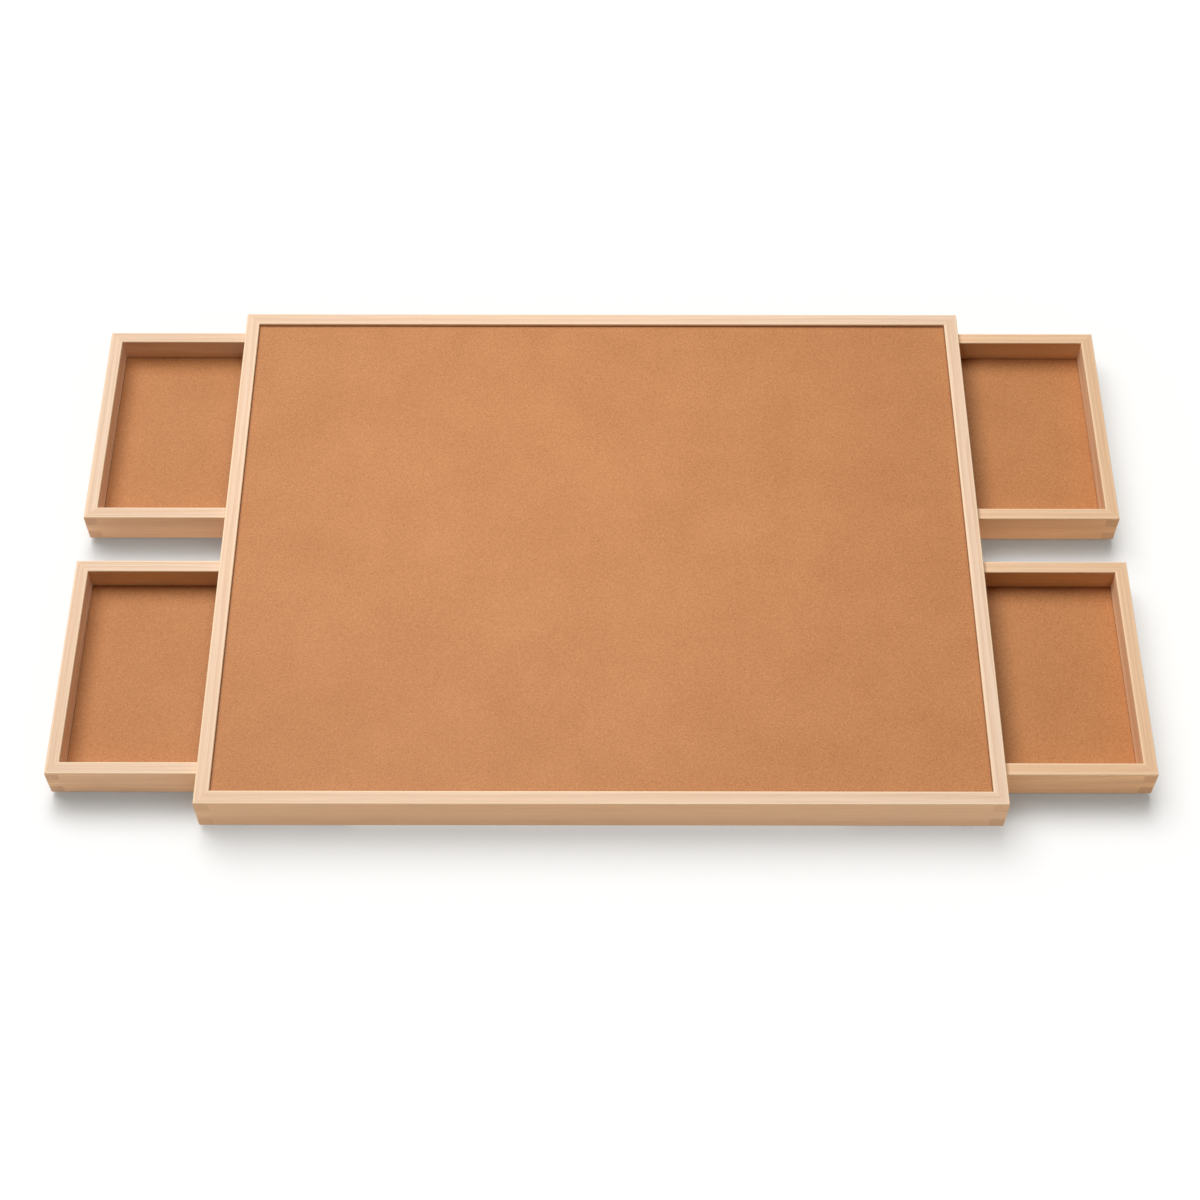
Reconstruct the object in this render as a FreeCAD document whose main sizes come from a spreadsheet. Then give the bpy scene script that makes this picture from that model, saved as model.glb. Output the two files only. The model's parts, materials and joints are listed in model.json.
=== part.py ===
import FreeCAD, Part
import os
import re
import Sketcher

# A jigsaw puzzle table: a shallow framed board on small feet, with four drawers that slide out under its left
# and right rails. +X is to the right, -Y is towards the player, and the origin is on the floor below its middle.
# Lengths are in millimetres. The drawers stand pulled out by drawer_extension.
sizes = {
    "frame_width": 870.0,             # outside, left to right
    "frame_depth": 676.0,             # outside, front to back
    "rail_height": 50.0,
    "rail_width": 16.0,
    "board_thickness": 3.0,
    "board_recess": 4.0,              # from the rails' top down to the work surface
    "panel_tongue": 5.0,              # how far a panel's edge reaches into its groove
    "panel_gap": 0.3,                 # room left at the bottom of that groove
    "panel_play": 0.4,                # room left above the panel in that groove
    "mitre_layer": 2.5,               # depth of the mitred layer that tops each corner
    "finger_share": 0.34,             # share of a side's height in the upper and in the lower finger
    "edge_ease": 0.8,                 # chamfer along the rails' and walls' edges
    "front_guide_width": 23.0,
    "middle_guide_width": 15.0,
    "back_guide_width": 7.0,
    "middle_space": 28.0,             # between the two middle guides
    "housing_depth": 5.0,             # how far the middle guides' ends are let into the side rails
    "brace_thickness": 20.0,
    "drawer_length": 330.0,
    "drawer_wall": 14.5,
    "drawer_inside_depth": 30.5,      # from the walls' top down to the floor panel
    "floor_thickness": 3.0,
    "drawer_extension": 165.0,        # how far the drawers stand out
    "drawer_travel": 240.0,           # from closed to the stops
    "side_gap": 1.0,                  # drawer to guide
    "top_gap": 0.5,                   # drawer to work surface
    "slide_gap": 0.3,                 # drawer to slide strip
    "strip_thickness": 2.5,
    "strip_lap": 12.0,                # how far a slide strip reaches under a drawer
    "strip_setback": 2.0,             # from the frame's outer faces to the strips' ends
    "foot_diameter": 9.0,
    "foot_height": 4.0,
    "foot_inset": 40.0,               # from the frame's ends to the outer feet
    "pin_diameter": 6.0,
    "pin_inset": 15.0,                # from a drawer's inner end to its stop pins
    "pin_reach": 3.0,                 # how far a pin stands in its groove
    "pin_play": 0.5,                  # room round a pin in its groove
    "pin_fit": 0.05,                  # room round a pin in its hole
    "screw_length": 16.0,
    "screw_diameter": 3.0,            # where the countersunk head ends, at the strip's upper face
    "screw_head_diameter": 6.0,
    "screw_fit": 0.1,                 # room round a screw
    "blind_room": 0.5,                # room beyond the end of a screw
    "screw_end_inset": 60.0,          # from the guides' ends to the outer screws
    "pull_width": 80.0,               # finger pull in the lower edge of a drawer's outer wall
    "pull_height": 12.0,
    "pull_depth": 7.0,
    "overrun": 2.0,                   # how far a cut runs past the wood
}
screwCount = 3                        # in each row
footCount = 2                         # under each long rail

# What follows from the sizes above. A word in a formula is a size or another formula.
formulas = {
    "guide_height": "rail_height - board_recess - board_thickness",
    "guide_length": "frame_width - 2 * rail_width",
    "drawer_height": "guide_height - top_gap - slide_gap",
    "drawer_bottom": "foot_height + slide_gap",
    "drawer_width": "(frame_depth - 2 * rail_width - front_guide_width - back_guide_width"
                    " - 2 * middle_guide_width - middle_space - 4 * side_gap) / 2",
    "bay_width": "drawer_width + 2 * side_gap",
    "front_bay_start": "rail_width + front_guide_width - frame_depth / 2",
    "front_bay_y": "front_bay_start + bay_width / 2",
    "back_bay_end": "frame_depth / 2 - rail_width - back_guide_width",
    "back_bay_y": "back_bay_end - bay_width / 2",
    "middle_y": "front_bay_start + bay_width + middle_guide_width + middle_space / 2",
    "middle_guide_offset": "(middle_space + middle_guide_width) / 2",
    "drawer_x": "(frame_width - drawer_length) / 2 + drawer_extension",
    "floor_bottom": "drawer_height - drawer_inside_depth - floor_thickness",
    "groove_depth": "panel_tongue + panel_gap",
    "pin_height": "slide_gap + drawer_height / 2",
    "pin_room": "pin_diameter / 2 + pin_play",
    "pin_closed_x": "frame_width / 2 - drawer_length + pin_inset",
    "screw_row": "guide_length - 2 * screw_end_inset",
    "pull_radius": "(pull_width ^ 2 / 4 + pull_height ^ 2) / (2 * pull_height)",
}

doc = FreeCAD.newDocument("PuzzleTable")
sheet = doc.addObject("Spreadsheet::Sheet", "Sizes")
for row, (alias, value) in enumerate(sizes.items(), start=1):
    sheet.set(f"A{row}", alias)
    sheet.set(f"B{row}", str(value))
    sheet.setAlias(f"B{row}", alias)
doc.recompute()
parts = []


def expression(text):
    # A formula in plain words, written out in the sheet's cells
    def spelled(match):
        word = match.group()
        if word in formulas:
            return f"({expression(formulas[word])})"
        return f"Sizes.{word}"
    return re.sub(r"[a-z_]+", spelled, text)


def number(text):
    return float(sheet.evalExpression(expression(text)))


def originPart(body, role):
    return next(item for item in body.Origin.OriginFeatures if item.Role == role)


def newBody(label, x="0", y="0", z="0", turn=0):
    # turn is the quarter turn, in degrees about Z, that brings the piece to its side of the table
    body = doc.addObject("PartDesign::Body", label)
    body.Label = label
    body.AllowCompound = True
    body.Placement = FreeCAD.Placement(FreeCAD.Vector(), FreeCAD.Rotation(FreeCAD.Vector(0, 0, 1), turn))
    body.setExpression("Placement.Base.x", expression(x))
    body.setExpression("Placement.Base.y", expression(y))
    body.setExpression("Placement.Base.z", expression(z))
    parts.append(body)
    return body


def newSketch(body, role, x="0", height="0"):
    # height is measured along the plane's own normal: +Z, -Y or +X
    sketch = body.newObject("Sketcher::SketchObject", f"{body.Name}_sketch")
    sketch.AttachmentSupport = (originPart(body, role), [""])
    sketch.MapMode = "FlatFace"
    sketch.setExpression("AttachmentOffset.Base.x", expression(x))
    sketch.setExpression("AttachmentOffset.Base.z", expression(height))
    return sketch


def bindDistance(sketch, kind, geometry, point, text):
    index = sketch.addConstraint(Sketcher.Constraint(kind, -1, 1, geometry, point, number(text)))
    sketch.setExpression(f"Constraints[{index}]", expression(text))


def drawOutline(sketch, points):
    corners = [FreeCAD.Vector(number(x), number(y), 0) for x, y in points]
    first = sketch.GeometryCount
    for index, corner in enumerate(corners):
        sketch.addGeometry(Part.LineSegment(corner, corners[(index + 1) % len(corners)]))
    for index, (x, y) in enumerate(points):
        following = first + (index + 1) % len(points)
        sketch.addConstraint(Sketcher.Constraint("Coincident", first + index, 2, following, 1))
        bindDistance(sketch, "DistanceX", first + index, 1, x)
        bindDistance(sketch, "DistanceY", first + index, 1, y)


def drawRectangle(sketch, left, low, right, high):
    drawOutline(sketch, [(left, low), (right, low), (right, high), (left, high)])


def drawCircle(sketch, x, y, radius):
    circle = sketch.addGeometry(Part.Circle(FreeCAD.Vector(number(x), number(y), 0), FreeCAD.Vector(0, 0, 1),
                                            number(radius)))
    bindDistance(sketch, "DistanceX", circle, 3, x)
    bindDistance(sketch, "DistanceY", circle, 3, y)
    index = sketch.addConstraint(Sketcher.Constraint("Radius", circle, number(radius)))
    sketch.setExpression(f"Constraints[{index}]", expression(radius))


def pad(body, sketch, length):
    feature = body.newObject("PartDesign::Pad", f"{body.Name}_pad")
    feature.Profile = sketch
    feature.setExpression("Length", expression(length))
    doc.recompute()
    return feature


def checkCut(body, feature, before):
    doc.recompute()
    if not feature.Shape.Volume < before:
        raise RuntimeError(f"{feature.Name} in {body.Label} cuts nothing")


def cut(body, sketch, depth, alongNormal=False):
    before = body.Tip.Shape.Volume
    feature = body.newObject("PartDesign::Pocket", f"{body.Name}_cut")
    feature.Profile = sketch
    feature.Reversed = alongNormal
    feature.setExpression("Length", expression(depth))
    checkCut(body, feature, before)
    return feature


def turned(body, sketch, kind):
    # A round form about the sketch's vertical axis: a Revolution adds, a Groove cuts
    before = body.Tip.Shape.Volume if kind == "Groove" else None
    feature = body.newObject(f"PartDesign::{kind}", f"{body.Name}_{kind.lower()}")
    feature.Profile = sketch
    feature.ReferenceAxis = (sketch, ["V_Axis"])
    feature.Angle = 360
    doc.recompute()
    if before is not None:
        checkCut(body, feature, before)
    return feature


def rowPattern(body, feature, length, count, width="0", rows=1):
    # Copies of a feature in a row along X, and in more than one row along Y
    pattern = body.newObject("PartDesign::LinearPattern", f"{body.Name}_row")
    pattern.Originals = [feature]
    pattern.Direction = (originPart(body, "X_Axis"), [""])
    pattern.setExpression("Length", expression(length))
    pattern.Occurrences = count
    if rows > 1:
        pattern.Direction2 = (originPart(body, "Y_Axis"), [""])
        pattern.setExpression("Length2", expression(width))
        pattern.Occurrences2 = rows
    body.Tip = pattern
    doc.recompute()
    return pattern


def mirrored(body, feature, role):
    mirror = body.newObject("PartDesign::Mirrored", f"{body.Name}_mirror")
    mirror.Originals = [feature]
    mirror.MirrorPlane = (originPart(body, role), [""])
    body.Tip = mirror
    doc.recompute()
    return mirror


def easeEdges(body, wanted):
    # Chamfers the straight edges whose two ends both pass the test
    base = body.Tip
    names = [f"Edge{index}" for index, edge in enumerate(base.Shape.Edges, start=1)
             if len(edge.Vertexes) == 2 and wanted(edge.Vertexes[0].Point, edge.Vertexes[1].Point)]
    feature = body.newObject("PartDesign::Chamfer", f"{body.Name}_ease")
    feature.Base = (base, names)
    feature.setExpression("Size", expression("edge_ease"))
    checkCut(body, feature, base.Shape.Volume)


def block(label, x, y, z, length, width, height, turn=0):
    # A plain block: length along X about its middle, its outer face on Y = 0, its underside on Z = 0
    body = newBody(label, x, y, z, turn)
    outline = newSketch(body, "XY_Plane")
    drawRectangle(outline, f"-({length}) / 2", "0", f"({length}) / 2", width)
    pad(body, outline, height)
    return body


def framedSide(label, x, y, z, length, width, height, grooveLow, grooveHigh, middleFinger, turn):
    # One side of a wooden frame with a panel groove. Its ends have a thin mitred layer on top and three
    # fingers below: either the middle one or the two outer ones belong to this side.
    body = block(label, x, y, z, length, width, height, turn)
    half = f"({length}) / 2"
    mitres = newSketch(body, "XY_Plane", height=height)
    fingers = newSketch(body, "XZ_Plane", height="overrun")
    upper = f"{height} - finger_share * {height}"
    lower = f"finger_share * {height}"
    removed = [("-overrun", lower), (upper, f"{height} - mitre_layer")] if middleFinger else [(lower, upper)]
    for sign in ("-", ""):
        drawOutline(mitres, [(f"{sign}({half} - {width} - overrun)", f"{width} + overrun"),
                             (f"{sign}({half} + overrun)", "-overrun"),
                             (f"{sign}({half} + overrun)", f"{width} + overrun")])
        for low, high in removed:
            drawRectangle(fingers, f"{sign}({half} - {width})", low, f"{sign}({half} + overrun)", high)
    cut(body, mitres, "mitre_layer")
    cut(body, fingers, f"{width} + 2 * overrun")
    groove = newSketch(body, "XY_Plane", height=grooveHigh)
    reach = f"{half} - {width} + groove_depth"
    drawRectangle(groove, f"-({reach})", f"{width} - groove_depth", reach, f"{width} + overrun")
    cut(body, groove, f"{grooveHigh} - ({grooveLow})")
    return body


def easeSide(body, length, width, height, middleFinger):
    # Both top edges and the lower outer edge, which turns the corner on a side with the outer fingers
    top = number(height)
    inner = number(width)
    end = number(f"({length}) / 2")

    def same(a, b):
        return abs(a - b) < FreeCAD.Base.Precision.confusion()

    def wanted(a, b):
        if same(a.z, top) and same(b.z, top):
            return same(a.y, b.y) and (same(a.y, 0) or same(a.y, inner))
        if not (same(a.z, 0) and same(b.z, 0)):
            return False
        atEnd = same(abs(a.x), end) and same(a.x, b.x) and not middleFinger
        return atEnd or (same(a.y, 0) and same(b.y, 0))
    easeEdges(body, wanted)


def screwRow(body, kind, y, points, rows):
    # Round forms from one outline of radii and heights, in a row along X and maybe a second row behind it
    outline = newSketch(body, "XZ_Plane", x="-screw_row / 2", height=f"-({y})")
    drawOutline(outline, points)
    rowPattern(body, turned(body, outline, kind), "screw_row", screwCount, "2 * middle_guide_offset", rows)


def addSideRail(label, side, turn):
    # side is the sign of the rail's place along X; the rail's own X runs along the table's Y times that sign
    length, width, height = "frame_depth", "rail_width", "rail_height"
    body = framedSide(label, f"{side}frame_width / 2", "0", "foot_height", length, width, height,
                      "guide_height", "guide_height + board_thickness + panel_play", False, turn)
    notches = newSketch(body, "XZ_Plane", height="overrun")
    for bay in ("front_bay_y", "back_bay_y"):
        drawRectangle(notches, f"{side}({bay} - bay_width / 2)", "-overrun",
                      f"{side}({bay} + bay_width / 2)", "guide_height")
    cut(body, notches, f"{width} + 2 * overrun")
    housings = newSketch(body, "XZ_Plane", height=f"-({width} + overrun)")
    for offset in ("- middle_guide_offset", "+ middle_guide_offset"):
        drawRectangle(housings, f"{side}(middle_y {offset} - middle_guide_width / 2)", "-overrun",
                      f"{side}(middle_y {offset} + middle_guide_width / 2)", "guide_height")
    cut(body, housings, "housing_depth + overrun", alongNormal=True)
    easeSide(body, length, width, height, False)


def addEndRail(label, y, turn):
    length, width, height = "frame_width", "rail_width", "rail_height"
    body = framedSide(label, "0", y, "foot_height", length, width, height,
                      "guide_height", "guide_height + board_thickness + panel_play", True, turn)
    easeSide(body, length, width, height, True)


def addGuide(label, y, width, turn, length="guide_length"):
    # A bar beside a drawer bay: its face on local Y = 0 looks into the bay
    body = block(label, "0", y, "foot_height", length, width, "guide_height", turn)
    grooves = newSketch(body, "XZ_Plane", height="overrun")
    for sign in ("-", ""):
        drawRectangle(grooves, f"{sign}(pin_closed_x - pin_room)", "pin_height - pin_room",
                      f"{sign}(pin_closed_x + drawer_travel + pin_room)", "pin_height + pin_room")
    cut(body, grooves, "overrun + pin_reach + pin_play")
    pilot = newSketch(body, "XY_Plane")
    drawCircle(pilot, "-screw_row / 2", f"{width} / 2", "screw_diameter / 2 + screw_fit")
    hole = cut(body, pilot, "screw_length - strip_thickness + blind_room", alongNormal=True)
    rowPattern(body, hole, "screw_row", screwCount)


def addStrip(name, y, width, screwY, rows):
    # A slide strip under a guide, and its screws
    z = "foot_height - strip_thickness"
    strip = block(f"{name}_slide_strip", "0", y, z, "frame_width - 2 * strip_setback", width, "strip_thickness")
    head, neck = "screw_head_diameter / 2", "screw_diameter / 2"
    screwRow(strip, "Groove", screwY, [("0", "0"), (f"{head} + screw_fit", "0"),
                                       (f"{neck} + screw_fit", "strip_thickness"), ("0", "strip_thickness")], rows)
    screws = newBody(f"{name}_strip_screws", "0", y, z)
    screwRow(screws, "Revolution", screwY, [("0", "0"), (head, "0"), (neck, "strip_thickness"),
                                            (neck, "screw_length"), ("0", "screw_length")], rows)


def addDrawer(bay, bayY, side):
    name = f"{bay}_{'left' if side else 'right'}_drawer"
    centre = f"{side}drawer_x"
    width, height = "drawer_wall", "drawer_height"
    panel = ("floor_bottom", "floor_bottom + floor_thickness + panel_play")
    outward, inward = (270, 90) if side else (90, 270)

    outer = framedSide(f"{name}_outer_wall", f"{side}(drawer_x + drawer_length / 2)", bayY, "drawer_bottom",
                       "drawer_width", width, height, *panel, False, outward)
    pull = newSketch(outer, "XZ_Plane", height="overrun")
    drawCircle(pull, "0", "pull_height - pull_radius", "pull_radius")
    cut(outer, pull, "pull_depth + overrun")
    easeSide(outer, "drawer_width", width, height, False)

    inner = framedSide(f"{name}_inner_wall", f"{side}(drawer_x - drawer_length / 2)", bayY, "drawer_bottom",
                       "drawer_width", width, height, *panel, False, inward)
    easeSide(inner, "drawer_width", width, height, False)

    for wall, edge, turn in (("front", "-", 0), ("back", "+", 180)):
        body = framedSide(f"{name}_{wall}_wall", centre, f"{bayY} {edge} drawer_width / 2", "drawer_bottom",
                          "drawer_length", width, height, *panel, True, turn)
        innerEnd = "-" if (turn == 0) == (side == "") else ""
        hole = newSketch(body, "XZ_Plane", height="overrun")
        drawCircle(hole, f"{innerEnd}(drawer_length / 2 - pin_inset)", "drawer_height / 2",
                   "pin_diameter / 2 + pin_fit")
        cut(body, hole, "drawer_wall + 2 * overrun")
        easeSide(body, "drawer_length", width, height, True)

    block(f"{name}_floor", centre, f"{bayY} - drawer_width / 2 + drawer_wall - panel_tongue",
          "drawer_bottom + floor_bottom", "drawer_length - 2 * drawer_wall + 2 * panel_tongue",
          "drawer_width - 2 * drawer_wall + 2 * panel_tongue", "floor_thickness")

    pins = newBody(f"{name}_stop_pins", f"{side}(drawer_x - drawer_length / 2 + pin_inset)", bayY,
                   "drawer_bottom + drawer_height / 2")
    pin = newSketch(pins, "XZ_Plane", height="drawer_width / 2 - drawer_wall")
    drawCircle(pin, "0", "0", "pin_diameter / 2")
    mirrored(pins, pad(pins, pin, "drawer_wall + side_gap + pin_reach"), "XZ_Plane")


# The frame and the work surface in its groove
addEndRail("front_rail", "-frame_depth / 2", 0)
addEndRail("back_rail", "frame_depth / 2", 180)
addSideRail("left_rail", "-", 270)
addSideRail("right_rail", "", 90)
block("work_surface", "0", "rail_width - panel_tongue - frame_depth / 2", "foot_height + guide_height",
      "guide_length + 2 * panel_tongue", "frame_depth - 2 * rail_width + 2 * panel_tongue", "board_thickness")

# The guides beside the drawer bays, and what ties them together
housedLength = "guide_length + 2 * housing_depth"
addGuide("front_guide", "front_bay_start", "front_guide_width", 180)
addGuide("front_middle_guide", "front_bay_start + bay_width", "middle_guide_width", 0, housedLength)
addGuide("back_middle_guide", "back_bay_end - bay_width", "middle_guide_width", 180, housedLength)
addGuide("back_guide", "back_bay_end", "back_guide_width", 0)
block("front_bay_brace", "0", "front_bay_start", "foot_height", "brace_thickness", "bay_width", "guide_height")
block("middle_spacer", "0", "middle_y - middle_space / 2", "foot_height",
      "brace_thickness", "middle_space", "guide_height")
block("back_bay_brace", "0", "back_bay_end - bay_width", "foot_height",
      "brace_thickness", "bay_width", "guide_height")

# The strips that the drawers slide on
lap = "side_gap + strip_lap"
middleStrip = f"2 * (middle_guide_offset + middle_guide_width / 2 + {lap})"
addStrip("front", "rail_width - frame_depth / 2", f"front_guide_width + {lap}", "front_guide_width / 2", 1)
addStrip("middle", f"middle_y - {middleStrip} / 2", middleStrip, f"{middleStrip} / 2 - middle_guide_offset", 2)
addStrip("back", f"back_bay_end - ({lap})", f"back_guide_width + {lap}", f"{lap} + back_guide_width / 2", 1)

# Rubber feet under the front and back rails
feet = newBody("rubber_feet")
foot = newSketch(feet, "XZ_Plane", x="foot_inset - frame_width / 2", height="(frame_depth - rail_width) / 2")
drawRectangle(foot, "0", "0", "foot_diameter / 2", "foot_height")
rowPattern(feet, turned(feet, foot, "Revolution"), "frame_width - 2 * foot_inset", footCount,
           "frame_depth - rail_width", 2)

for bayName, bayCentre in (("front", "front_bay_y"), ("back", "back_bay_y")):
    for sideSign in ("-", ""):
        addDrawer(bayName, bayCentre, sideSign)

doc.recompute()
for item in doc.Objects:
    if "Invalid" in item.State or "Error" in item.State:
        raise RuntimeError(f"{item.Name} did not build: {item.State}")
for piece in parts:
    if piece.Shape.isNull() or not piece.Shape.isValid() or not piece.Shape.Solids:
        raise RuntimeError(f"{piece.Label} has no valid solid")

os.makedirs("parts", exist_ok=True)
for piece in parts:
    piece.Shape.exportStep(f"parts/{piece.Label}.step")
print(f"{len(parts)} sub-parts written")
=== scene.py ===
import itertools
import json
import math
import random
import bmesh
import bpy
from mathutils import Color, Matrix, Vector

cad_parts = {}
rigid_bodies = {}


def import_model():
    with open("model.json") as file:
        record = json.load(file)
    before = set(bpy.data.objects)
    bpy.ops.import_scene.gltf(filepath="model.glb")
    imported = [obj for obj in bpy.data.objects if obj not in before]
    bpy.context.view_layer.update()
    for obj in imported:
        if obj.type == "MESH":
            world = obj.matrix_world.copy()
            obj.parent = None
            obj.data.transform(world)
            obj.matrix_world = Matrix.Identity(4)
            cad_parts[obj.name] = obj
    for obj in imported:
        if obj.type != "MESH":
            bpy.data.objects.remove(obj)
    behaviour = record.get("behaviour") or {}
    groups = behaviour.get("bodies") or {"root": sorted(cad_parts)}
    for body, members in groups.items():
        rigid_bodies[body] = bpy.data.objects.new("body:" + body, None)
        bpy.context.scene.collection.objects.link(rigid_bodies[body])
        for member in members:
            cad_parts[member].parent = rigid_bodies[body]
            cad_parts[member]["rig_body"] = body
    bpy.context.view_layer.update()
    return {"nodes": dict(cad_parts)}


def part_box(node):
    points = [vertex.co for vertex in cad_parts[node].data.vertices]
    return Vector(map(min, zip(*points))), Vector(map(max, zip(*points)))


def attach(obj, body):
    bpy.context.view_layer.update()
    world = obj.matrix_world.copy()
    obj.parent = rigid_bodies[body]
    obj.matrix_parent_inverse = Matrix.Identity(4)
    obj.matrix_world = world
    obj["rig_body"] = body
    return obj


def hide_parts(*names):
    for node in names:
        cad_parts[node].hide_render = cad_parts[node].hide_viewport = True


# A jigsaw puzzle table: pale hardwood frame, brown fibreboard work surface and four shallow drawers.
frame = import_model()
nodes = frame["nodes"]
scene = bpy.context.scene
print("Frame loaded,", len(nodes), "nodes")

# The camera stands where the photograph was taken from
viewpoint = {
    "location": (-0.0010, -1.4378, 2.1598),   # metres
    "tilt": 32.820,                           # degrees, up from straight down
    "turn": 0.028,
    "roll": 0.054,
    "lens": 66.744,                           # millimetres
    "sensor": 36.0,
}


def addCamera():
    data = bpy.data.cameras.new("camera")
    data.lens = viewpoint["lens"]
    data.sensor_width = viewpoint["sensor"]
    camera = bpy.data.objects.new("camera", data)
    turn, tilt, roll = (math.radians(viewpoint[name]) for name in ("turn", "tilt", "roll"))
    camera.matrix_world = (Matrix.Translation(viewpoint["location"]) @ Matrix.Rotation(turn, 4, "Z")
                           @ Matrix.Rotation(tilt, 4, "X") @ Matrix.Rotation(roll, 4, "Z"))
    scene.collection.objects.link(camera)
    scene.camera = camera


addCamera()
scene.view_settings.view_transform = "Standard"
print("Camera placed")

# Small tools for the materials
noiseLimits = (0.3, 0.7)   # nearly all of a noise's values lie between these


def colour(red, green, blue):
    # A colour as a screen shows it, 0 to 255, for a linear socket
    return (*Color((red / 255, green / 255, blue / 255)).from_srgb_to_scene_linear(), 1)


def addNode(tree, kind, inputs=None, **settings):
    node = tree.nodes.new("ShaderNode" + kind)
    for name, value in settings.items():
        setattr(node, name, value)
    for name, value in (inputs or {}).items():
        if isinstance(value, bpy.types.NodeSocket):
            tree.links.new(value, node.inputs[name])
        else:
            node.inputs[name].default_value = value
    return node


def maths(tree, operation, first, second=0.0):
    return addNode(tree, "Math", {0: first, 1: second}, operation=operation).outputs[0]


def vectorMaths(tree, operation, first, second):
    return addNode(tree, "VectorMath", {0: first, 1: second}, operation=operation).outputs[0]


def partAlong(tree, vector, axis):
    return addNode(tree, "VectorMath", {0: vector, 1: axis}, operation="DOT_PRODUCT").outputs["Value"]


def brighten(tree, tint, level):
    return addNode(tree, "VectorMath", {0: tint, "Scale": level}, operation="SCALE").outputs[0]


def mixColours(tree, share, first, second):
    return addNode(tree, "Mix", {0: share, 6: first, 7: second}, data_type="RGBA").outputs[2]


def remap(tree, value, low, high, newLow=0.0, newHigh=1.0):
    return addNode(tree, "MapRange", {"Value": value, "From Min": low, "From Max": high,
                                      "To Min": newLow, "To Max": newHigh}).outputs[0]


def noise(tree, place, scale, detail=2.0, roughness=0.5, distortion=0.0):
    # scale is in features per metre, for each axis
    stretched = vectorMaths(tree, "MULTIPLY", place, scale)
    return addNode(tree, "TexNoise", {"Vector": stretched, "Scale": 1.0, "Detail": detail,
                                      "Roughness": roughness, "Distortion": distortion}).outputs[0]


def newMaterial(name, look):
    material = bpy.data.materials.new(name)
    material.use_nodes = True
    shader = material.node_tree.nodes["Principled BSDF"]
    shader.inputs["Specular IOR Level"].default_value = look["specular"]
    shader.inputs["Metallic"].default_value = look.get("metallic", 0.0)
    return material, material.node_tree, shader


def finishShader(tree, shader, look, tint, pattern, height):
    # The pattern drives the roughness, and the height gives the relief
    tree.links.new(tint, shader.inputs["Base Color"])
    rough = remap(tree, pattern, *noiseLimits, *look["roughness"])
    tree.links.new(rough, shader.inputs["Roughness"])
    bump = addNode(tree, "Bump", {"Height": height, "Distance": look["bumpDepth"], "Strength": look["bump"]})
    tree.links.new(bump.outputs[0], shader.inputs["Normal"])


def makeSpeckled(name, look):
    # Steel and rubber: one fine noise gives the tint, the roughness and the relief
    material, tree, shader = newMaterial(name, look)
    speckle = noise(tree, addNode(tree, "TexCoord").outputs["Object"], **look["speckle"])
    tint = mixColours(tree, remap(tree, speckle, *look["tintLimits"]), *look["tints"])
    finishShader(tree, shader, look, tint, speckle, speckle)
    return material


# Small tools for the meshes
def addObject(mesh, name, material):
    data = bpy.data.meshes.new(name)
    mesh.to_mesh(data)
    mesh.free()
    data.materials.append(material)
    made = bpy.data.objects.new(name, data)
    scene.collection.objects.link(made)
    return made


def addPiece(mesh, name, material, body, node):
    piece = addObject(mesh, name, material)
    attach(piece, body)
    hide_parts(node)


def vertsIn(items):
    return [item for item in items if isinstance(item, bmesh.types.BMVert)]


def edgesAmong(verts):
    # Each edge once, in the same order every run
    edges = dict.fromkeys(edge for vert in verts for edge in vert.link_edges)
    return [edge for edge in edges if all(vert in verts for vert in edge.verts)]


def roundEdges(mesh, edges, radius, steps):
    return bmesh.ops.bevel(mesh, geom=edges, offset=radius, offset_type="OFFSET", affect="EDGES",
                           segments=steps, profile=0.5, clamp_overlap=True, material=-1)["faces"]


def smoothSides(mesh, axis, flatLimit):
    # Faces that look along the axis stay flat
    for face in mesh.faces:
        face.smooth = abs(face.normal.dot(axis)) < flatLimit


def settleFaces(mesh):
    # Blender's extrusions leave the faces in an order that changes from run to run
    mesh.verts.index_update()
    ranked = sorted(mesh.faces, key=lambda face: sorted(vert.index for vert in face.verts))
    rank = {face: place for place, face in enumerate(ranked)}
    mesh.faces.sort(key=rank.get)


def evenPlaces(low, high, margin, count):
    # Evenly spaced places between two ends, each end a margin away from its limit
    step = (high - low - 2 * margin) / (count - 1) if count > 1 else 0
    return [low + margin + step * index for index in range(count)]


# Floor, backdrop and lamps. Sky, sun and panel add up to about 1 on top of the table. The floor has a sun, a
# sky and a fill of its own. Their light is warm and its paper cool: white together, but the paper takes up
# some of the warm light that comes off the wood, so the shadows stay grey.
studio = {
    "skyLevel": 0.05,
    "skyTint": (1.0, 0.52, 0.05, 1),
    "sunLevel": 0.69,
    "sunFrom": (-0.30, 0.46, 1.0),     # direction towards the sun, from behind on the left
    "sunSpread": 46.0,                 # degrees, for soft shadows
    "panelLevel": 0.33,
    "panelPlace": (-0.18, 0.14, 0.95),
    "panelSize": 0.5,
    "floorSunLevel": 0.403,
    "floorSunFrom": (-0.35, 0.61, 1.0),
    "floorSunSpread": 50.0,
    "floorSkyLevel": 0.363,
    "floorSkyFrom": (-0.27, -0.22, 1.0),
    "floorSkySpread": 175.0,
    "floorFillLevel": 0.23,
    "floorFillFrom": (0.0, 0.7, 1.0),
    "floorFillSpread": 30.0,
    "floorSize": 30.0,
    "floorCool": (0.48, 0.635, 0.84),
    "floorBounce": (0.49, 0.53, 0.53, 1),
    "bounceGlow": (0.27, 0.235, 0.225, 1),   # light that the floor sends back up at the table's sides
}


def seenByEye(tree):
    # 1 for what the camera, metal or glass sees, 0 for light that the surroundings throw on the table
    path = addNode(tree, "LightPath")
    direct = maths(tree, "MAXIMUM", path.outputs["Is Camera Ray"], path.outputs["Is Glossy Ray"])
    return maths(tree, "MAXIMUM", direct, path.outputs["Is Transmission Ray"])


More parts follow.
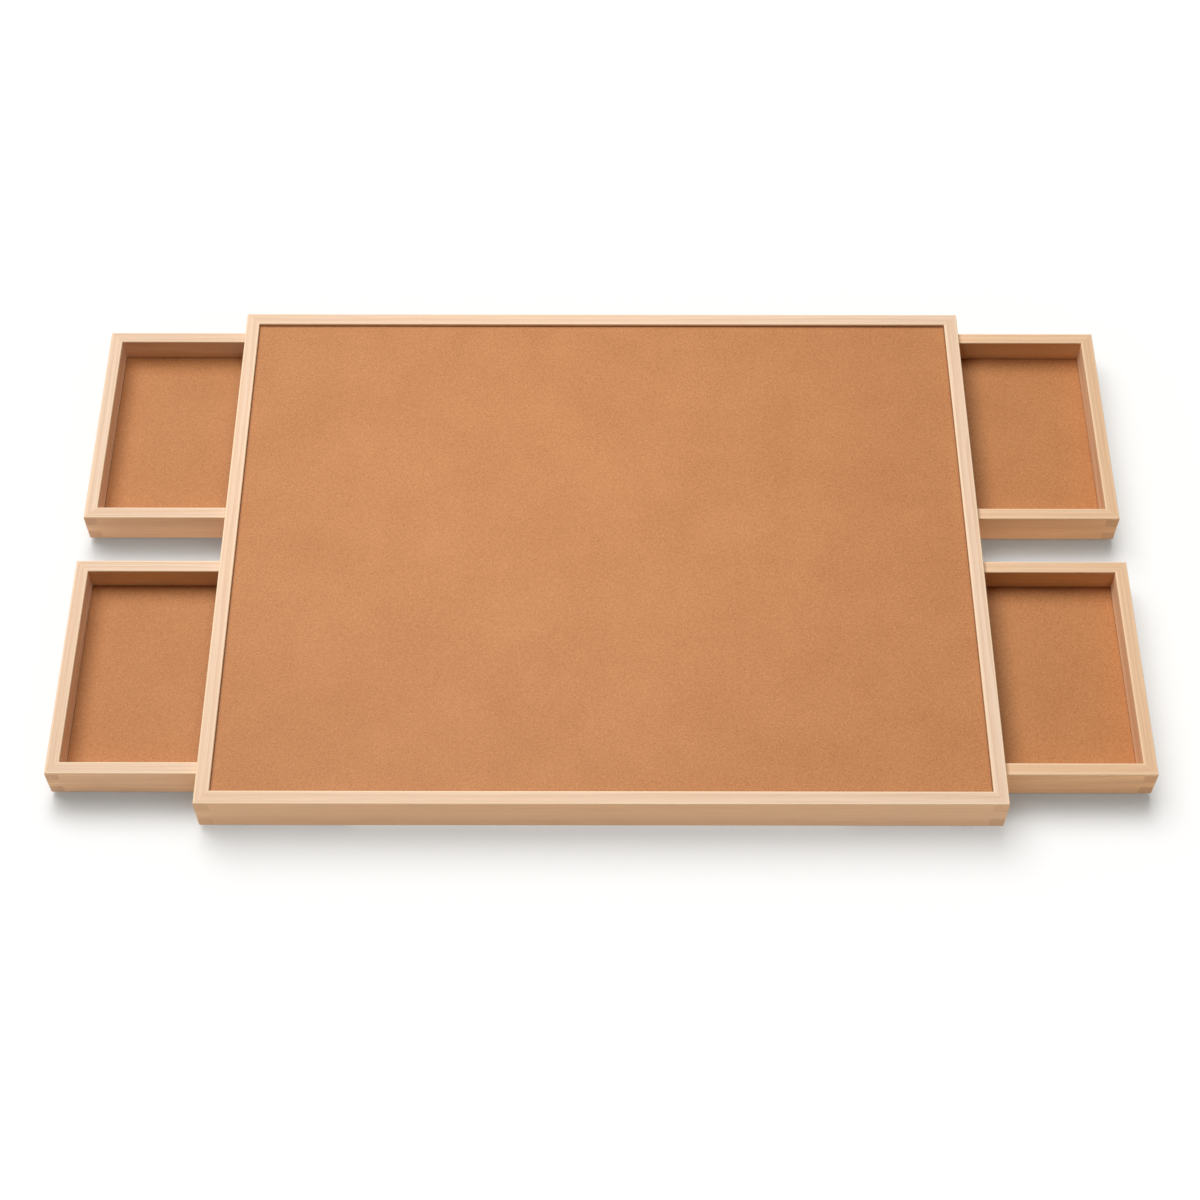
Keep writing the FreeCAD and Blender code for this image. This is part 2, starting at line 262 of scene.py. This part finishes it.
def addSky():
    world = bpy.data.worlds.new("studioSky")
    world.use_nodes = True
    tree = world.node_tree
    tree.nodes.clear()
    lit = addNode(tree, "Background", {"Color": studio["skyTint"], "Strength": studio["skyLevel"]})
    seen = addNode(tree, "Background", {"Color": colour(255, 255, 255), "Strength": 1.0})
    both = addNode(tree, "MixShader", {0: seenByEye(tree), 1: lit.outputs[0], 2: seen.outputs[0]})
    addNode(tree, "OutputWorld", {"Surface": both.outputs[0]})
    scene.world = world


def makeFloorPaper():
    material = bpy.data.materials.new("floorPaper")
    material.use_nodes = True
    tree = material.node_tree
    tree.nodes.clear()
    seen = addNode(tree, "BsdfDiffuse", {"Color": (*studio["floorCool"], 1)})
    matt = addNode(tree, "BsdfDiffuse", {"Color": studio["floorBounce"]})
    glowing = addNode(tree, "Emission", {"Color": studio["bounceGlow"]})
    bounce = addNode(tree, "AddShader", {0: matt.outputs[0], 1: glowing.outputs[0]})
    both = addNode(tree, "MixShader", {0: seenByEye(tree), 1: bounce.outputs[0], 2: seen.outputs[0]})
    addNode(tree, "OutputMaterial", {"Surface": both.outputs[0]})
    return material


def addFloor():
    mesh = bmesh.new()
    bmesh.ops.create_grid(mesh, x_segments=1, y_segments=1, size=studio["floorSize"] / 2)
    floor = addObject(mesh, "floor", makeFloorPaper())
    return floor


def addLamp(name, kind, towards, energy, floor, forFloor):
    # A lamp for the floor alone, or one for everything else
    data = bpy.data.lights.new(name, kind)
    data.energy = energy
    lamp = bpy.data.objects.new(name, data)
    lamp.rotation_mode = "QUATERNION"
    lamp.rotation_quaternion = towards.normalized().to_track_quat("Z", "Y")
    scene.collection.objects.link(lamp)
    lit = bpy.data.collections.new(name + "Lights")
    lit.objects.link(floor)
    lit.collection_objects[0].light_linking.link_state = "INCLUDE" if forFloor else "EXCLUDE"
    lamp.light_linking.receiver_collection = lit
    return lamp


def addSun(name, floor, forFloor):
    # A sun of this strength gives its level on flat ground
    towards = Vector(studio[name + "From"])
    energy = math.pi * studio[name + "Level"] * towards.length / towards.z
    sun = addLamp(name, "SUN", towards, energy, floor, forFloor)
    sun.data.angle = math.radians(studio[name + "Spread"])
    return sun


def addPanel(floor):
    # A panel of this power gives its level at the table's middle
    place = Vector(studio["panelPlace"])
    energy = studio["panelLevel"] * math.pi ** 2 * place.length ** 3 / place.z
    panel = addLamp("panel", "AREA", place, energy, floor, False)
    panel.data.size = studio["panelSize"]
    panel.location = place


addSky()
studioFloor = addFloor()
addSun("sun", studioFloor, False)
addPanel(studioFloor)
floorLamps = {name: addSun(name, studioFloor, True) for name in ("floorSun", "floorSky", "floorFill")}
for lamp in floorLamps.values():
    lamp.data.color = [1 / share for share in studio["floorCool"]]
print("Studio lit")

# Wood. Each piece is cut from its own plank, so every material has its own pith line and tone.
railLook = {
    "pale": colour(245, 217, 192),
    "warm": colour(240, 207, 177),
    "ring": colour(224, 183, 146),
    "fleck": colour(194, 142, 101),
    "ringSpacing": 0.0031,             # metres
    "ringShare": 0.48,
    "fleckShare": 0.24,
    "paintedHighlight": colour(255, 228, 195),     # painted highlight on the upward arrises and the rims of the top faces
    "endTint": colour(241, 240, 238),  # what end grain keeps of the light
    "specular": 0.2,
    "roughness": (0.54, 0.68),
    "bump": 0.30,
    "bumpDepth": 0.00012,
}
drawerLook = dict(railLook, ringSpacing=0.0027, endTint=colour(236, 234, 236))
# The right drawers' wood is a warmer, slightly darker copy of the drawer wood: painted shade, as the light
# comes from the left
shadedDrawerLook = dict(drawerLook, pale=colour(244, 209, 174), warm=colour(238, 199, 160),
                      ring=colour(223, 177, 133), paintedHighlight=colour(255, 221, 184))
innerLook = dict(railLook, pale=colour(228, 194, 152), warm=colour(214, 172, 126), ring=colour(190, 142, 96),
                 ringSpacing=0.0042, ringShare=0.5, roughness=(0.55, 0.70), bump=0.5)
stripLook = dict(railLook, pale=colour(222, 188, 148), warm=colour(208, 168, 124), ringSpacing=0.0012,
                 roughness=(0.50, 0.64))
dowelLook = dict(railLook, pale=colour(230, 196, 156), ringSpacing=0.0018)

# What all the woods share. Scales are in features per metre along, across and through the plank.
grain = {
    "pithAlong": (-3, 3),              # metres from the pith line's start to the piece's middle
    "pithBeside": (0.015, 0.05),
    "pithBelow": (0.03, 0.07),
    "ringSquash": (0.045, 1, 1),       # rings run on for long along the grain
    "ringWave": math.pi / 10,          # the wave texture's scale that gives one ring a metre
    "ringDistortion": 6.0,
    "ringDetail": 3.0,
    "ringDetailScale": 0.5,
    "ringRoughness": 0.55,
    "ringRelief": 0.5,
    "lateWood": (0.35, 1.0),           # the part of a ring that darkens
    "tone": {"scale": (1.2, 42, 42), "detail": 3},
    "toneLimits": (0.34, 0.66),
    "fibre": {"scale": (16, 1100, 1100), "detail": 4, "roughness": 0.65},
    "fibreLevels": (0.91, 1.09),
    "fleck": {"scale": (170, 1700, 1700), "detail": 2},
    "fleckLimits": (0.63, 0.74),
    "plankLevels": (0.975, 1.025),
    "endLimits": (0.75, 0.95),         # the normal's part along the grain, from side to end grain
    "topLimits": (0.8, 0.9),           # the normal's upward part, from side to top face, for the painted highlight
    "rimHighlightStart": 0.0024,                # metres in from a top face's long edges, where the painted highlight starts
    "rimHighlightFull": 0.0012,
    "rimHighlightShare": 0.95,
}


def plankSpace(tree, place, middle, turn, chance):
    # In plank space X runs along the grain and the pith lies beside and below the piece
    along = chance.uniform(*grain["pithAlong"])
    beside = chance.choice((-1, 1)) * chance.uniform(*grain["pithBeside"])
    below = chance.uniform(*grain["pithBelow"])
    shift = Vector((along, beside, below)) - Matrix.Rotation(turn, 3, "Z") @ middle
    turned = addNode(tree, "Mapping", {"Vector": place, "Rotation": (0, 0, turn), "Location": shift})
    return turned.outputs[0]


def growthRings(tree, plank, spacing):
    rings = addNode(tree, "TexWave", {
        "Vector": vectorMaths(tree, "MULTIPLY", plank, grain["ringSquash"]),
        "Scale": grain["ringWave"] / spacing,
        "Distortion": grain["ringDistortion"],
        "Detail": grain["ringDetail"],
        "Detail Scale": grain["ringDetailScale"],
        "Detail Roughness": grain["ringRoughness"],
    }, wave_type="RINGS", rings_direction="X", wave_profile="SAW").outputs["Fac"]
    return remap(tree, rings, *grain["lateWood"])


def woodFigure(tree, plank, look, lateWood, fibre):
    tone = remap(tree, noise(tree, plank, **grain["tone"]), *grain["toneLimits"])
    fleck = remap(tree, noise(tree, plank, **grain["fleck"]), *grain["fleckLimits"])
    tint = mixColours(tree, tone, look["pale"], look["warm"])
    tint = mixColours(tree, maths(tree, "MULTIPLY", lateWood, look["ringShare"]), tint, look["ring"])
    tint = mixColours(tree, maths(tree, "MULTIPLY", fleck, look["fleckShare"]), tint, look["fleck"])
    return brighten(tree, tint, remap(tree, fibre, *noiseLimits, *grain["fibreLevels"]))


def shadeEndGrain(tree, tint, normal, grainAxis, endTint):
    # End grain drinks more finish, so faces across the grain are darker
    facing = maths(tree, "ABSOLUTE", partAlong(tree, normal, grainAxis))
    darker = vectorMaths(tree, "MULTIPLY", tint, endTint[:3])
    return mixColours(tree, remap(tree, facing, *grain["endLimits"]), tint, darker)


def highlightShare(tree, place, normal, crossAxis, middle, halfWidth):
    # Painted highlight: the upward arrises and the outer millimetres of the top faces are made lighter
    across = partAlong(tree, vectorMaths(tree, "SUBTRACT", place, middle), crossAxis)
    toEdge = maths(tree, "SUBTRACT", halfWidth, maths(tree, "ABSOLUTE", across))
    rim = remap(tree, toEdge, grain["rimHighlightStart"], grain["rimHighlightFull"])
    upward = remap(tree, partAlong(tree, normal, (0, 0, 1)), *grain["topLimits"])
    rim = maths(tree, "MULTIPLY", maths(tree, "MULTIPLY", rim, upward), grain["rimHighlightShare"])
    arrisHighlight = addNode(tree, "Attribute", attribute_name="arrisHighlight").outputs["Fac"]
    return maths(tree, "MAXIMUM", rim, arrisHighlight)


def makeWood(name, look, low, high, seed):
    chance = random.Random(seed)
    material, tree, shader = newMaterial(name, look)
    coordinates = addNode(tree, "TexCoord").outputs
    place, normal = coordinates["Object"], coordinates["Normal"]
    middle = (low + high) / 2
    size = high - low
    grainAxis, crossAxis, turn = (1, 0, 0), (0, 1, 0), 0.0
    if size.y > size.x:
        grainAxis, crossAxis, turn = (0, 1, 0), (1, 0, 0), math.pi / 2
    plank = plankSpace(tree, place, middle, turn, chance)
    lateWood = growthRings(tree, plank, look["ringSpacing"])
    fibre = noise(tree, plank, **grain["fibre"])
    tint = woodFigure(tree, plank, look, lateWood, fibre)
    tint = shadeEndGrain(tree, tint, normal, grainAxis, look["endTint"])
    # Painted highlight along the top arrises and the rims of the top faces
    paintedHighlight = highlightShare(tree, place, normal, crossAxis, middle, min(size.x, size.y) / 2)
    tint = mixColours(tree, paintedHighlight, tint, look["paintedHighlight"])
    tint = brighten(tree, tint, chance.uniform(*grain["plankLevels"]))
    height = maths(tree, "ADD", fibre, maths(tree, "MULTIPLY", lateWood, grain["ringRelief"]))
    finishShader(tree, shader, look, tint, fibre, height)
    return material


# A copy of a wood node whose edges are rounded over, as sanded wood is
easing = {
    "weld": 1e-6,
    "flatAngle": 0.4,      # degrees: faces nearer to one plane than this become one
    "curveAngle": 25.0,    # degrees: facets of a round hole or arc meet at less than this
    "radius": 0.00028,
    "steps": 2,
    "arrisHighlightLow": 0.2,       # the upward part of the normals of the top arrises, which get the painted highlight
    "arrisHighlightHigh": 0.97,
}


def easedCopy(source):
    mesh = bmesh.new()
    mesh.from_mesh(source.data)
    bmesh.ops.remove_doubles(mesh, verts=mesh.verts, dist=easing["weld"])
    bmesh.ops.dissolve_limit(mesh, angle_limit=math.radians(easing["flatAngle"]),
                             verts=mesh.verts, edges=mesh.edges)
    curve = math.radians(easing["curveAngle"])
    for face in mesh.faces:
        face.smooth = any(edge.is_manifold and edge.calc_face_angle() < curve for edge in face.edges)
    sharp = [edge for edge in mesh.edges
             if edge.is_manifold and edge.is_convex and edge.calc_face_angle() > curve]
    for face in roundEdges(mesh, sharp, easing["radius"], easing["steps"]):
        face.smooth = True
    mesh.normal_update()
    # The top arrises are marked for the painted highlight
    arrisHighlight = mesh.faces.layers.float.new("arrisHighlight")
    for face in mesh.faces:
        face[arrisHighlight] = float(easing["arrisHighlightLow"] < face.normal.z < easing["arrisHighlightHigh"])
    return mesh


def addWood(node, look, seed):
    material = makeWood(node + "Wood", look, *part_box(node), seed)
    addPiece(easedCopy(nodes[node]), node + "_wood", material, nodes[node]["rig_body"], node)


drawers = [f"{bay}_{side}_drawer" for bay in ("front", "back") for side in ("left", "right")]


def drawerWalls(side):
    return [f"{drawer}_{wall}_wall" for drawer in drawers if side in drawer
            for wall in ("outer", "inner", "front", "back")]


woodSets = [
    ("rail_wood", railLook, ["front_rail", "back_rail", "left_rail", "right_rail"]),
    ("drawer_wood", drawerLook, drawerWalls("left")),
    ("drawer_wood", shadedDrawerLook, drawerWalls("right")),
    ("inner_wood", innerLook, ["front_guide", "front_middle_guide", "back_middle_guide", "back_guide",
                               "front_bay_brace", "middle_spacer", "back_bay_brace"]),
    ("strip_wood", stripLook, ["front_slide_strip", "middle_slide_strip", "back_slide_strip"]),
]
seeds = itertools.count(11)   # one for each wooden piece
for slot, look, names in woodSets:
    for node in names:
        addWood(node, look, next(seeds))
    print(slot, "pieces eased:", len(names))

# Fibreboard: the work surface and the drawers' floors keep their CAD shape
boardLook = {
    "dark": colour(161, 98, 47),
    "pale": colour(223, 159, 107),
    "layers": {            # scales in features per metre
        "cloud": {"scale": (14, 14, 14), "detail": 3, "roughness": 0.6},
        "fibre": {"scale": (520, 520, 520), "detail": 5, "roughness": 0.62, "distortion": 1.2},
        "grit": {"scale": (1300, 1300, 1300), "detail": 2, "roughness": 0.7},
    },
    "shares": {"cloud": 0.30, "fibre": 1.60, "grit": 2.20},
    "shift": (1.0, 0.5, 0.0),   # metres between one board's part of the pattern and the next one's
    "specular": 0.2,
    "roughness": (0.50, 0.66),
    "bump": 0.25,
    "bumpDepth": 0.00010,
    "tongue": 0.005,       # metres of the board that are hidden in the groove
    "seamShadeWidth": 0.0011,   # painted shade: the dark line where the board meets the wood
    "seamShade": 0.45,
    "edgeShadeWidth": 0.0045,   # how far in from the wood the board is painted a little darker, as shade
    "edgeShade": 0.86,
}
# The drawers' floors get a wider painted shade towards their walls
drawerBoardLook = dict(boardLook, dark=colour(167, 104, 53), pale=colour(217, 154, 102), seamShadeWidth=0.0008,
                       seamShade=0.75, edgeShadeWidth=0.02, edgeShade=0.92)


def boardMottle(tree, layers, shares):
    # Every layer pulls the mottle up or down from its middle
    middle = 0.5
    mottle = middle
    for name, share in shares.items():
        pull = maths(tree, "MULTIPLY", maths(tree, "SUBTRACT", layers[name], middle), share)
        mottle = maths(tree, "ADD", mottle, pull)
    return mottle


def boardShade(tree, look, place, low, high):
    # Painted shade: darker towards the wood, with a dark seam where the two meet
    visible = (high - low) / 2 - Vector((look["tongue"], look["tongue"], 0))
    fromMiddle = vectorMaths(tree, "SUBTRACT", place, (low + high) / 2)
    fromMiddle = addNode(tree, "VectorMath", {0: fromMiddle}, operation="ABSOLUTE").outputs[0]
    beyond = addNode(tree, "SeparateXYZ", {0: vectorMaths(tree, "SUBTRACT", fromMiddle, visible)})
    nearest = maths(tree, "MAXIMUM", beyond.outputs["X"], beyond.outputs["Y"])
    seam = remap(tree, nearest, -look["seamShadeWidth"], -look["seamShadeWidth"] / 2, 1.0, look["seamShade"])
    edge = remap(tree, nearest, -look["edgeShadeWidth"], -look["seamShadeWidth"], 1.0, look["edgeShade"])
    return maths(tree, "MULTIPLY", seam, edge)


def makeBoard(name, look, low, high, count):
    material, tree, shader = newMaterial(name, look)
    place = addNode(tree, "TexCoord").outputs["Object"]
    shifted = addNode(tree, "Mapping", {"Vector": place, "Location": count * Vector(look["shift"])})
    layers = {layer: noise(tree, shifted.outputs[0], **values) for layer, values in look["layers"].items()}
    tint = mixColours(tree, boardMottle(tree, layers, look["shares"]), look["dark"], look["pale"])
    tint = brighten(tree, tint, boardShade(tree, look, place, low, high))
    height = maths(tree, "ADD", layers["fibre"], layers["grit"])
    finishShader(tree, shader, look, tint, layers["fibre"], height)
    return material


def paintBoard(node, look, count):
    materials = nodes[node].data.materials
    materials.clear()
    materials.append(makeBoard(node + "Board", look, *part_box(node), count))


paintBoard("work_surface", boardLook, 0)
for count, drawer in enumerate(drawers, 1):
    paintBoard(drawer + "_floor", drawerBoardLook, count)
print("Boards painted")

# Countersunk screws with a cross recess, in rows under the slide strips. Metres.
screwForm = {
    "rows": {"front": 1, "middle": 2, "back": 1},   # lines of screws under each strip
    "perRow": 3,
    "sides": 32,
    "neckRadius": 0.0015,
    "headHeight": 0.0025,
    "pointLength": 0.0035,
    "pointTaper": 0.12,
    "rimRound": 0.00012,
    "rimSteps": 2,
    "recessReach": 0.0017,
    "recessHalfWidth": 0.00042,
    "recessDepth": 0.0013,
    "recessTaper": 0.45,
    "flatLimit": 0.9,       # the normal's part along the axis, above which a face stays flat
    "turnAlong": 90.0,      # radians a metre, so that every recess stands at its own angle
    "turnAcross": 40.0,
}
steelLook = {
    "tints": (colour(214, 212, 204), colour(186, 184, 178)),
    "tintLimits": (0.35, 0.65),
    "speckle": {"scale": (700, 700, 700), "detail": 3},
    "specular": 0.5,
    "metallic": 1.0,
    "roughness": (0.26, 0.42),
    "bump": 0.2,
    "bumpDepth": 0.00004,
}


def growRing(mesh, verts, rise, scale):
    # Extrudes an open ring of vertices upwards and scales it about the screw's axis
    ring = vertsIn(bmesh.ops.extrude_edge_only(mesh, edges=edgesAmong(verts))["geom"])
    bmesh.ops.scale(mesh, vec=(scale, scale, 1), verts=ring)
    bmesh.ops.translate(mesh, vec=(0, 0, rise), verts=ring)
    return ring


def addRecess(mesh, rim):
    # A cross cut from a grid of nine squares, with the head's flat filled in round it
    form = screwForm
    grid = bmesh.ops.create_grid(mesh, x_segments=3, y_segments=3, size=form["recessReach"])["verts"]
    half = form["recessReach"] / 2
    for axis in (0, 1):
        for vert in grid:
            if abs(vert.co[axis]) < half:
                vert.co[axis] = math.copysign(form["recessHalfWidth"], vert.co[axis])
    corners = [face for face in mesh.faces
               if all(abs(value) > form["recessHalfWidth"] for value in face.calc_center_median()[:2])]
    bmesh.ops.delete(mesh, geom=corners, context="FACES")
    recess = list(mesh.faces)
    crossEdges = [edge for edge in mesh.edges if edge.is_boundary]
    bmesh.ops.triangle_fill(mesh, use_beauty=True, edges=crossEdges + edgesAmong(rim))
    sunk = vertsIn(bmesh.ops.extrude_face_region(mesh, geom=recess)["geom"])
    bmesh.ops.delete(mesh, geom=[face for face in recess if face.is_valid], context="FACES")
    bmesh.ops.translate(mesh, vec=(0, 0, form["recessDepth"]), verts=sunk)
    bmesh.ops.scale(mesh, vec=(form["recessTaper"], form["recessTaper"], 1), verts=sunk)


def buildScrew(headRadius, length):
    # Stands on its head at the origin, the point up
    form = screwForm
    mesh = bmesh.new()
    rim = bmesh.ops.create_circle(mesh, cap_ends=False, radius=headRadius, segments=form["sides"])["verts"]
    addRecess(mesh, rim)
    neck = growRing(mesh, rim, form["headHeight"], form["neckRadius"] / headRadius)
    shoulder = growRing(mesh, neck, length - form["headHeight"] - form["pointLength"], 1)
    point = growRing(mesh, shoulder, form["pointLength"], form["pointTaper"])
    bmesh.ops.contextual_create(mesh, geom=edgesAmong(point))
    roundEdges(mesh, edgesAmong(rim), form["rimRound"], form["rimSteps"])
    bmesh.ops.recalc_face_normals(mesh, faces=mesh.faces)
    smoothSides(mesh, Vector((0, 0, 1)), form["flatLimit"])
    settleFaces(mesh)
    made = bpy.data.meshes.new("screw")
    mesh.to_mesh(made)
    mesh.free()
    return made


def addScrews(row, lines, headRadius, steel):
    node = row + "_strip_screws"
    low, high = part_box(node)
    screw = buildScrew(headRadius, high.z - low.z)
    mesh = bmesh.new()
    for x in evenPlaces(low.x, high.x, headRadius, screwForm["perRow"]):
        for y in evenPlaces(low.y, high.y, headRadius, lines):
            before = set(mesh.verts)
            mesh.from_mesh(screw)
            added = [vert for vert in mesh.verts if vert not in before]
            turn = screwForm["turnAlong"] * x + screwForm["turnAcross"] * y
            bmesh.ops.rotate(mesh, cent=(0, 0, 0), matrix=Matrix.Rotation(turn, 3, "Z"), verts=added)
            bmesh.ops.translate(mesh, vec=(x, y, low.z), verts=added)
    bpy.data.meshes.remove(screw)
    addPiece(mesh, row + "_screws", steel, "frame", node)


# The front row is a single line of screws, so it is as wide as a head
low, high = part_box("front_strip_screws")
steel = makeSpeckled("zincPlate", steelLook)
for row, lines in screwForm["rows"].items():
    addScrews(row, lines, (high.y - low.y) / 2, steel)
print("Screws driven")

# Round rubber feet, a little narrower where they touch the floor. Metres.
footForm = {
    "radius": 0.0045,
    "across": 2,
    "deep": 2,
    "sides": 40,
    "floorShare": 0.86,
    "edgeRound": 0.0009,
    "roundSteps": 4,
    "flatLimit": 0.999,
}
rubberLook = {
    "tints": (colour(46, 45, 44), colour(62, 60, 58)),
    "tintLimits": (0.35, 0.65),
    "speckle": {"scale": (1800, 1800, 1800), "detail": 3, "roughness": 0.6},
    "specular": 0.3,
    "roughness": (0.72, 0.88),
    "bump": 0.4,
    "bumpDepth": 0.00008,
}


def addFeet():
    low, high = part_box("rubber_feet")
    height = high.z - low.z
    radius = footForm["radius"]
    mesh = bmesh.new()
    for x in evenPlaces(low.x, high.x, radius, footForm["across"]):
        for y in evenPlaces(low.y, high.y, radius, footForm["deep"]):
            middle = Matrix.Translation((x, y, low.z + height / 2))
            bmesh.ops.create_cone(mesh, cap_ends=True, segments=footForm["sides"],
                                  radius1=radius * footForm["floorShare"], radius2=radius,
                                  depth=height, matrix=middle)
    treads = [vert for vert in mesh.verts if vert.co.z < low.z + height / 2]
    roundEdges(mesh, edgesAmong(treads), footForm["edgeRound"], footForm["roundSteps"])
    smoothSides(mesh, Vector((0, 0, 1)), footForm["flatLimit"])
    rubber = makeSpeckled("footRubber", rubberLook)
    addPiece(mesh, "round_feet", rubber, "frame", "rubber_feet")


addFeet()
print("Feet fitted")

# Stop pins: short dowels with rounded ends, in the drawers' front and back walls
pinForm = {
    "sides": 32,
    "sharpAngle": 60.0,    # degrees: the edges round a pin's ends are sharper than this
    "endRound": 0.0006,
    "roundSteps": 3,
    "flatLimit": 0.999,
}


def addPins(drawer, seed):
    node = drawer + "_stop_pins"
    low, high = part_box(node)
    radius = (high.x - low.x) / 2
    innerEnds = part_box(drawer + "_front_wall")[1].y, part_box(drawer + "_back_wall")[0].y
    lying = Matrix.Rotation(math.pi / 2, 4, "X")
    mesh = bmesh.new()
    for inner, outer in zip(innerEnds, (low.y, high.y)):
        middle = ((low.x + high.x) / 2, (inner + outer) / 2, (low.z + high.z) / 2)
        bmesh.ops.create_cone(mesh, cap_ends=True, segments=pinForm["sides"], radius1=radius, radius2=radius,
                              depth=abs(outer - inner), matrix=Matrix.Translation(middle) @ lying)
    rims = [edge for edge in mesh.edges if edge.calc_face_angle() > math.radians(pinForm["sharpAngle"])]
    roundEdges(mesh, rims, pinForm["endRound"], pinForm["roundSteps"])
    smoothSides(mesh, Vector((0, 1, 0)), pinForm["flatLimit"])
    material = makeWood(node + "Wood", dowelLook, low, high, seed)
    addPiece(mesh, drawer + "_dowels", material, drawer, node)


for drawer in drawers:
    addPins(drawer, next(seeds))
print("Stop pins fitted")


def shadeFill():
    # Only the drawers throw a shadow in the fill's light, so theirs is deeper than the frame's
    shades = bpy.data.collections.new("fillShades")
    for wall in drawerWalls("left") + drawerWalls("right"):
        shades.objects.link(scene.objects[wall + "_wood"])
    floorLamps["floorFill"].light_linking.blocker_collection = shades


shadeFill()
print("Drawers' shadows deepened")
